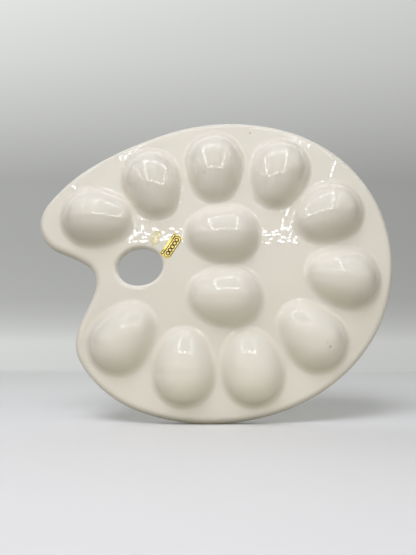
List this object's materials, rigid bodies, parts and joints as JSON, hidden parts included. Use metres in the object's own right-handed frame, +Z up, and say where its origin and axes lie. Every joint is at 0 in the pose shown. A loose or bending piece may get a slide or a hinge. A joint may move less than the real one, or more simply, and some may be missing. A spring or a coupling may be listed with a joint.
{
  "type": "mixing palette",
  "caption": "Glazed ceramic painter's-palette dish: a rimmed, kidney-like outline with egg-shaped wells, a thumb hole and a small foil label on its underside.",
  "frame": {"origin": "under the middle of the overall width and thickness, at the lowest point of the rim, with the dish standing on edge as it is displayed", "axes": "+X along the width, away from the prong beside the thumb hole; +Y from the bulged underside to the hollow side; +Z up, along the height of the standing dish"},
  "size_m": [0.3051, 0.0292, 0.261],
  "materials": {
    "cream_glaze": "clear glossy glaze over an off-white cast body, fired smooth, with faint pooling and a few pinholes",
    "gold_foil": null,
    "old_glue": "dry translucent yellowish film of label glue"
  },
  "bodies": {
    "root": {"palette_body": "cream_glaze", "foil_label": "gold_foil", "glue_film": "old_glue"}
  },
  "joints": []
}
